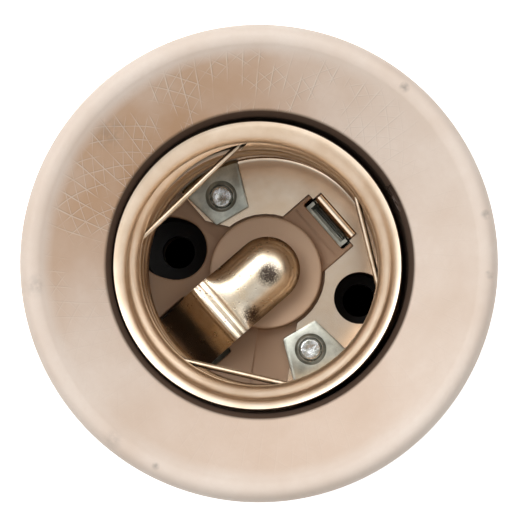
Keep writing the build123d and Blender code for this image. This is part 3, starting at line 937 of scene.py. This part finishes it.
def arm_path():
    """Upper outline of the contact (x, z) behind its round end: arm, crease, slope, leg, foot."""
    slope = radians(LEG_SLOPE)
    bend_x = CREASE_X - 2.2
    knee_z = CONTACT_TOP - (bend_x - LEG_X) * tan(slope)
    corners = [
        (ARM_CENTRE_X, CONTACT_TOP, 0),
        (CREASE_X + 0.7, CONTACT_TOP - 0.05, 0.5),
        (CREASE_X + 0.1, CONTACT_TOP - 0.34, 0.25),
        (CREASE_X - 0.35, CONTACT_TOP - 0.08, 0.2),
        (CREASE_X - 0.8, CONTACT_TOP - 0.34, 0.25),
        (CREASE_X - 1.25, CONTACT_TOP - 0.1, 0.3),
        (bend_x, CONTACT_TOP - 0.1, 2.6),
        (LEG_X, knee_z, 2.2),
        (LEG_X, FOOT_TOP, 1.2),
        (FOOT_END_X, FOOT_TOP, 0),
    ]
    return resample(rounded_path(corners, 12), 0.3)


def make_contact(settings):
    """Strip over (s, q): spine + q·half width, lowered by arch·(0.7q² + 0.3q⁶) on its arm."""
    spine = arm_path()
    turn = np.radians(np.linspace(0, 90, 22))[:-1]
    end_x = ARM_CENTRE_X + CONTACT_HALF * np.cos(turn)
    end_half = CONTACT_HALF * np.sin(turn)
    x = np.concatenate([end_x, spine[:, 0]])[:, None]
    z = np.concatenate([np.full(len(end_x), CONTACT_TOP), spine[:, 1]])[:, None]
    half = np.concatenate([end_half, np.full(len(spine), CONTACT_HALF)])[:, None]
    narrow = fade(z, (NARROW_HEIGHT + 0.3, NARROW_HEIGHT - 0.3))
    half = half + (FOOT_HALF - CONTACT_HALF) * narrow
    across = np.sin(np.radians(np.linspace(-90, 90, 41)))[None, :]
    y = half * across
    from_spine = np.sqrt(np.maximum(x - ARM_CENTRE_X, 0) ** 2 + y**2) / CONTACT_HALF
    arch = settings.contact_arch / MM * fade(x, (CREASE_X + 0.2, CREASE_X + 4.0))
    arch = arch + 0.35 * fade(z, (CONTACT_TOP - 8, CONTACT_TOP - 2))
    z = z - arch * (0.7 * from_spine**2 + 0.3 * from_spine**6)
    points = stacked(x, y, z)
    faces = grid_faces(*points.shape[:2], closed=False)
    contact = add_piece("contact_strip", points, faces, False)
    if sum(face.normal.z * face.area for face in contact.data.polygons) < 0:
        contact.data.flip_normals()
    sheet = contact.modifiers.new("sheet", "SOLIDIFY")
    sheet.thickness = CONTACT_SHEET * MM
    sheet.offset = -1.0
    settle(contact)
    hole = drum((CONTACT_TERMINAL_X, 0), FOOT_HOLE_RADIUS, [(FOOT_TOP - 2, 0), (FOOT_TOP + 1, 0)])
    combine(contact, [hole], "DIFFERENCE")
    smooth(contact, 45)
    return contact


def make_nut_plate(name, turn):
    """Wedge of a ring, with its corners rounded and its top edge bevelled, and a countersink."""
    near = NUT_PLATE_INNER / cos(radians(NUT_PLATE_HALF_ANGLE))
    sides = [(near, NUT_PLATE_HALF_ANGLE), (near, -NUT_PLATE_HALF_ANGLE)]
    arc = np.linspace(-NUT_PLATE_HALF_ANGLE, NUT_PLATE_HALF_ANGLE, 9)
    sides.extend((NUT_PLATE_OUTER, angle) for angle in arc)
    corners = np.array([polar(r, angle + turn, 0)[:2] for r, angle in sides])
    closed = [(*point, 0.0 if 2 < n < 10 else 0.35) for n, point in enumerate(corners)]
    start = (*(corners[0] + corners[-1]) / 2, 0)
    outline = rounded_path([start, *closed, start], 5)[:-1]
    middle = outline.mean(axis=0)
    floor = SHELL_FLOOR
    top = floor + NUT_PLATE_THICKNESS
    scales = [0.99, 1.0, 1.0, 0.985, 0.93]
    heights = [floor, floor + 0.1, top - 0.35, top - 0.08, top]
    plate = loft(name, [middle + (outline - middle) * scale for scale in scales], heights)
    place = polar(SHELL_SCREW_CIRCLE, turn, 0)
    sink = NUT_COUNTERSINK - NUT_HOLE
    levels = [(floor - 1, 0), (top - sink, 0), (top + 0.3, sink + 0.3)]
    combine(plate, [drum(place, NUT_HOLE, levels)], "DIFFERENCE")
    smooth(plate, 30)
    return plate


def make_screw(name, place, bearing, tip, head_size):
    """Revolved screw whose shaft is r = R - d·|wave|, the wave climbing one pitch a turn."""
    head_radius, head_height = head_size
    low = bearing - head_height
    head = rounded_path([
        (0, low, 0),
        (head_radius, low, 0.7),
        (head_radius, bearing, 0.15),
        (SCREW_RADIUS - 0.1, bearing, 0),
    ])
    heights = np.arange(bearing + 0.1, tip - 0.42, SCREW_PITCH / 8)
    shaft = np.column_stack([np.full(len(heights), SCREW_RADIUS), heights])
    end = rounded_path([
        (SCREW_RADIUS - 0.05, tip - 0.4, 0),
        (1.55, tip, 0.2),
        (0.8, tip - 0.02, 0.2),
        (0, tip - 0.12, 0),
    ])
    profile = np.concatenate([head, shaft, end])
    columns = 40
    angle = np.arange(columns)[None, :] * 360 / columns
    wave = np.abs(2 * np.mod(profile[:, 1:] / SCREW_PITCH - angle / 360, 1.0) - 1)
    reach = np.zeros(len(profile))
    reach[len(head):len(head) + len(shaft)] = SCREW_THREAD_DEPTH
    radius = profile[:, :1] - reach[:, None] * wave
    points = polar(radius, angle, profile[:, 1:]) + np.array([place[0], place[1], 0.0])
    screw = add_piece(name, points, grid_faces(len(profile), columns))
    slot_size = (3 * head_radius, 1.0)
    slot = prism(place, slot_size, 0.05, [(low - 1, 0), (low + 1.2, 0)], SCREW_SLOT_ANGLE)
    combine(screw, [slot], "DIFFERENCE")
    smooth(screw, 35)
    return screw


def length_property(name, description, default):
    """Length in metres that a user can change."""
    return bpy.props.FloatProperty(
        name=name, description=description, default=default, min=0.0, unit="LENGTH", precision=5
    )


def colour_property(name, description, colour):
    """Colour that a user can change."""
    return bpy.props.FloatVectorProperty(
        name=name, description=description, default=linear(colour), size=4, min=0.0, max=1.0,
        subtype="COLOR",
    )


class PorcelainSettings(bpy.types.PropertyGroup):
    """Finish of the porcelain body."""

    light_colour: colour_property("Light Colour", "Clean bare porcelain", "ECDDD0")
    warm_colour: colour_property("Warm Colour", "Stained bare porcelain", "DFCBBA")
    scratch_spacing: length_property("Scratch Spacing", "Gap between the radial scratches", 2.0 * MM)


class MetalSettings(bpy.types.PropertyGroup):
    """Sizes and finishes of the metal pieces."""

    sheet: length_property("Sheet", "Thickness of the shell's sheet", SHEET * MM)
    thread_depth: length_property(
        "Thread Depth", "Half of the rolled thread's depth", THREAD_DEPTH * MM
    )
    contact_arch: length_property("Contact Arch", "Drop of the contact's edges", 1.8 * MM)
    shell_colour: colour_property("Shell", "Nickel of the shell", "E8D5BF")
    shell_shade: colour_property("Shell Shade", "Cloudy nickel of the shell", "DAC3A9")
    contact_colour: colour_property("Contact", "Nickel of the contact", "E8DCC9")
    contact_shade: colour_property("Contact Shade", "Worn nickel of the contact", "D3BFA1")
    wire_colour: colour_property("Wire", "Lock spring", "D3C2AC")
    zinc_colour: colour_property("Zinc", "Nut and terminal plates", "B9BAAF")
    zinc_shade: colour_property("Zinc Shade", "Dull zinc", "96988F")
    screw_colour: colour_property("Screw", "Tips and heads of the screws", "D0D1D2")


class StageSettings(bpy.types.PropertyGroup):
    """Floor and light of the picture."""

    floor_colour: colour_property("Floor", "Colour of the floor", "F4F3F1")
    key_power: bpy.props.FloatProperty(
        name="Key Power", description="Power of the large lamp", default=2.9, min=0.0, unit="POWER"
    )
    fill_power: bpy.props.FloatProperty(
        name="Fill Power", description="Power of the fill lamp", default=0.8, min=0.0, unit="POWER"
    )


class PieceOperator:
    """What the operators share: they can be undone."""

    bl_options = {"REGISTER", "UNDO"}


class LAMPHOLDER_OT_add_body(PieceOperator, bpy.types.Operator):
    """Adds the porcelain body in place of the plain one"""

    bl_idname = "lampholder.add_body"
    bl_label = "Add Porcelain Body"

    def execute(self, context):
        settings = context.scene.lampholder_porcelain
        dress(make_body(), "holder", "porcelain_body", bare_porcelain(settings))
        return {"FINISHED"}


class LAMPHOLDER_OT_add_shell(PieceOperator, bpy.types.Operator):
    """Adds the rolled screw shell with its tab and windows"""

    bl_idname = "lampholder.add_shell"
    bl_label = "Add Screw Shell"

    def execute(self, context):
        settings = context.scene.lampholder_metal
        shell = make_shell(settings)
        dress(shell, "holder", "threaded_shell", satin_nickel(settings))
        return {"FINISHED"}


class LAMPHOLDER_OT_add_lock_spring(PieceOperator, bpy.types.Operator):
    """Adds the round wire that locks the lamp"""

    bl_idname = "lampholder.add_lock_spring"
    bl_label = "Add Lock Spring"

    def execute(self, context):
        settings = context.scene.lampholder_metal
        dress(make_wire(), "holder", "lamp_lock_spring", drawn_wire(settings))
        return {"FINISHED"}


class LAMPHOLDER_OT_add_contact(PieceOperator, bpy.types.Operator):
    """Adds the centre contact, and finishes the leaf that moves with it"""

    bl_idname = "lampholder.add_contact"
    bl_label = "Add Centre Contact"

    def execute(self, context):
        settings = context.scene.lampholder_metal
        contact = make_contact(settings)
        dress(contact, "contact", "centre_contact", polished_nickel(settings))
        coat(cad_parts["contact_backing_leaf"], blued_steel())
        return {"FINISHED"}


class LAMPHOLDER_OT_add_nut_plates(PieceOperator, bpy.types.Operator):
    """Adds the nut plates on the shell's floor and the screws that hold it"""

    bl_idname = "lampholder.add_nut_plates"
    bl_label = "Add Nut Plates and Screws"

    def execute(self, context):
        settings = context.scene.lampholder_metal
        zinc = zinc_plate(settings)
        bright = bright_screw(settings)
        tip = SHELL_FLOOR + NUT_PLATE_THICKNESS - 0.3
        for side, turn in (("a", SHELL_SCREW_ANGLE), ("b", SHELL_SCREW_ANGLE + 180)):
            plate = make_nut_plate(f"nut_plate_{side}", turn)
            dress(plate, "holder", f"shell_nut_plate_{side}", zinc)
            place = polar(SHELL_SCREW_CIRCLE, turn, 0)[:2]
            name = f"machine_screw_{side}"
            screw = make_screw(name, place, SHELL_SCREW_WELL_DEPTH, tip, SHELL_SCREW_HEAD)
            dress(screw, "holder", f"shell_screw_{side}", bright)
        return {"FINISHED"}


class LAMPHOLDER_OT_add_terminals(PieceOperator, bpy.types.Operator):
    """Adds the terminals' screws, and finishes their plates, saddles and washers"""

    bl_idname = "lampholder.add_terminals"
    bl_label = "Add Terminals"

    def execute(self, context):
        settings = context.scene.lampholder_metal
        zinc = zinc_plate(settings)
        steel = blued_steel()
        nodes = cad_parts
        terminals = (
            ("shell", (SHELL_TERMINAL_X, TAB_SIDE_Y), 10.4, 16.0),
            ("contact", (CONTACT_TERMINAL_X, 0.0), 9.8, 15.7),
        )
        for owner, place, bearing, tip in terminals:
            coat(nodes[f"{owner}_terminal_plate"], zinc)
            coat(nodes[f"{owner}_wire_saddle"], zinc)
            coat(nodes[f"{owner}_terminal_washer"], steel)
            body = f"{owner}_clamp_screw"
            screw = make_screw(body, place, bearing, tip, TERMINAL_SCREW_HEAD)
            node = f"{owner}_terminal_screw"
            dress(screw, body, node, bright_screw(settings))
        return {"FINISHED"}


class LAMPHOLDER_OT_add_stage(PieceOperator, bpy.types.Operator):
    """Adds the floor, the soft lamps and the camera over the mouth"""

    bl_idname = "lampholder.add_stage"
    bl_label = "Add Stage"

    def execute(self, context):
        settings = context.scene.lampholder_stage
        add_floor(settings)
        add_lamp("key_lamp", KEY_LAMP, settings.key_power)
        add_lamp("fill_lamp", FILL_LAMP, settings.fill_power)
        add_world()
        add_camera()
        context.scene.view_settings.view_transform = "Standard"
        return {"FINISHED"}


def add_floor(settings):
    """Wide flat floor that shows white to the camera, painted black under the holder as painted
    shade.
    """
    ring = round_outline((0, 0), (FLOOR_SIZE, FLOOR_SIZE), FLOOR_SIZE / 6)
    points = np.column_stack([ring, np.full(len(ring), -0.02)])
    floor = add_piece("floor", points, [list(range(len(ring)))])
    material = bpy.data.materials.new("matt_white_board")
    tree = empty_tree(material)
    place = add_node(tree, "ShaderNodeTexCoord").outputs["Object"]
    outside = band(tree, around_axis(tree, place)[0], 27, 28)
    path = add_node(tree, "ShaderNodeLightPath").outputs
    seen = larger(tree, path["Is Camera Ray"], path["Is Glossy Ray"])
    glow_level = times(tree, times(tree, seen, outside), 0.8)
    # Painted shade: the board is black under the holder, where it is seen only through the holes
    board = blend_colour(tree, outside, (0, 0, 0, 1), settings.floor_colour)
    base = add_node(tree, "ShaderNodeBsdfDiffuse", {"Color": board})
    glow = add_node(tree, "ShaderNodeEmission", {"Color": (1, 1, 1, 1), "Strength": glow_level})
    both = add_node(tree, "ShaderNodeAddShader", {0: base.outputs[0], 1: glow.outputs[0]})
    add_node(tree, "ShaderNodeOutputMaterial", {"Surface": both.outputs[0]})
    floor.data.materials.append(material)
    return floor


def add_lamp(name, place, power):
    """Square soft lamp, aimed at the mouth."""
    lamp = bpy.data.lights.new(name, "AREA")
    lamp.shape = "SQUARE"
    lamp.size = LAMP_SIZE * MM
    lamp.energy = power
    piece = add_object(name, lamp)
    piece.location = Vector(from_picture(*place)) * MM
    aim = Vector(LAMP_AIM) * MM - piece.location
    piece.rotation_euler = aim.to_track_quat("-Z", "Y").to_euler()


def patch(tree, direction, target, outer, inner, *levels):
    """Ramp from an outer to an inner angle, in degrees, around a target given in the picture."""
    target = tuple(Vector(from_picture(*target)).normalized())
    towards = vector_result(tree, "DOT_PRODUCT", direction, target)
    return ramp(tree, towards, cos(radians(outer)), cos(radians(inner)), *levels)


def add_world():
    """White room to the camera, with dark parts and a bright window in reflections."""
    world = bpy.data.worlds.new("studio")
    tree = empty_tree(world)
    direction = add_node(tree, "ShaderNodeTexCoord").outputs["Generated"]
    height = add_node(tree, "ShaderNodeSeparateXYZ", {0: direction}).outputs[2]
    overhead = patch(tree, direction, DARK_OVERHEAD, 14, 7, 1.0, 0.35)
    window = patch(tree, direction, BRIGHT_WINDOW, 30, 12, 0.0, 1.4)
    sides = calculate(tree, "ADD", ramp(tree, height, 0.0, 0.55, 0.42, 1.4), window)
    sides = times(tree, sides, patch(tree, direction, DARK_SIDE, 34, 16, 1.0, 0.45))
    mirror = times(tree, overhead, sides)
    path = add_node(tree, "ShaderNodeLightPath").outputs
    level = add_node(tree, "ShaderNodeMix", {0: path["Is Glossy Ray"], 2: 0.45, 3: mirror}).outputs[0]
    level = add_node(tree, "ShaderNodeMix", {0: path["Is Camera Ray"], 2: level, 3: 1.0}).outputs[0]
    sky = add_node(tree, "ShaderNodeBackground", {"Color": (1, 1, 1, 1), "Strength": level})
    add_node(tree, "ShaderNodeOutputWorld", {"Surface": sky.outputs[0]})
    bpy.context.scene.world = world


def add_camera():
    """Camera above the mouth, leaning by its two tilts, with the picture's top at its up angle."""
    camera = bpy.data.cameras.new("camera")
    camera.lens = CAMERA_FOCAL
    camera.sensor_width = CAMERA_SENSOR
    camera.clip_end = 100
    piece = add_object("camera", camera)
    look = Vector(from_picture(CAMERA_TILT_RIGHT, CAMERA_TILT_DOWN, -1.0)).normalized()
    side = look.cross(Vector(from_picture(0.0, -1.0, 0.0))).normalized()
    up = side.cross(look)
    turn = Matrix((side, up, -look)).transposed()
    piece.matrix_world = Matrix.Translation(Vector(CAMERA_PLACE) * MM) @ turn.to_4x4()
    bpy.context.scene.camera = piece


OPERATORS = (
    LAMPHOLDER_OT_add_body,
    LAMPHOLDER_OT_add_shell,
    LAMPHOLDER_OT_add_lock_spring,
    LAMPHOLDER_OT_add_contact,
    LAMPHOLDER_OT_add_nut_plates,
    LAMPHOLDER_OT_add_terminals,
    LAMPHOLDER_OT_add_stage,
)


class LAMPHOLDER_PT_pieces(bpy.types.Panel):
    """Lists the pieces of the lamp holder"""

    bl_label = "Lamp Holder"
    bl_idname = "LAMPHOLDER_PT_pieces"
    bl_space_type = "VIEW_3D"
    bl_region_type = "UI"
    bl_category = "Lamp Holder"

    def draw(self, context):
        for operator in OPERATORS:
            self.layout.operator(operator.bl_idname)


CLASSES = (PorcelainSettings, MetalSettings, StageSettings, *OPERATORS, LAMPHOLDER_PT_pieces)


def register():
    """Registers the classes and hangs their settings on the scene."""
    for item in CLASSES:
        bpy.utils.register_class(item)
    bpy.types.Scene.lampholder_porcelain = bpy.props.PointerProperty(type=PorcelainSettings)
    bpy.types.Scene.lampholder_metal = bpy.props.PointerProperty(type=MetalSettings)
    bpy.types.Scene.lampholder_stage = bpy.props.PointerProperty(type=StageSettings)


def unregister():
    """Takes the settings and the classes away again."""
    del bpy.types.Scene.lampholder_stage
    del bpy.types.Scene.lampholder_metal
    del bpy.types.Scene.lampholder_porcelain
    for item in reversed(CLASSES):
        bpy.utils.unregister_class(item)


def main():
    register()
    bpy.ops.lampholder.add_body()
    bpy.ops.lampholder.add_shell()
    bpy.ops.lampholder.add_lock_spring()
    bpy.ops.lampholder.add_contact()
    bpy.ops.lampholder.add_nut_plates()
    bpy.ops.lampholder.add_terminals()
    bpy.ops.lampholder.add_stage()


if __name__ == "__main__":
    main()
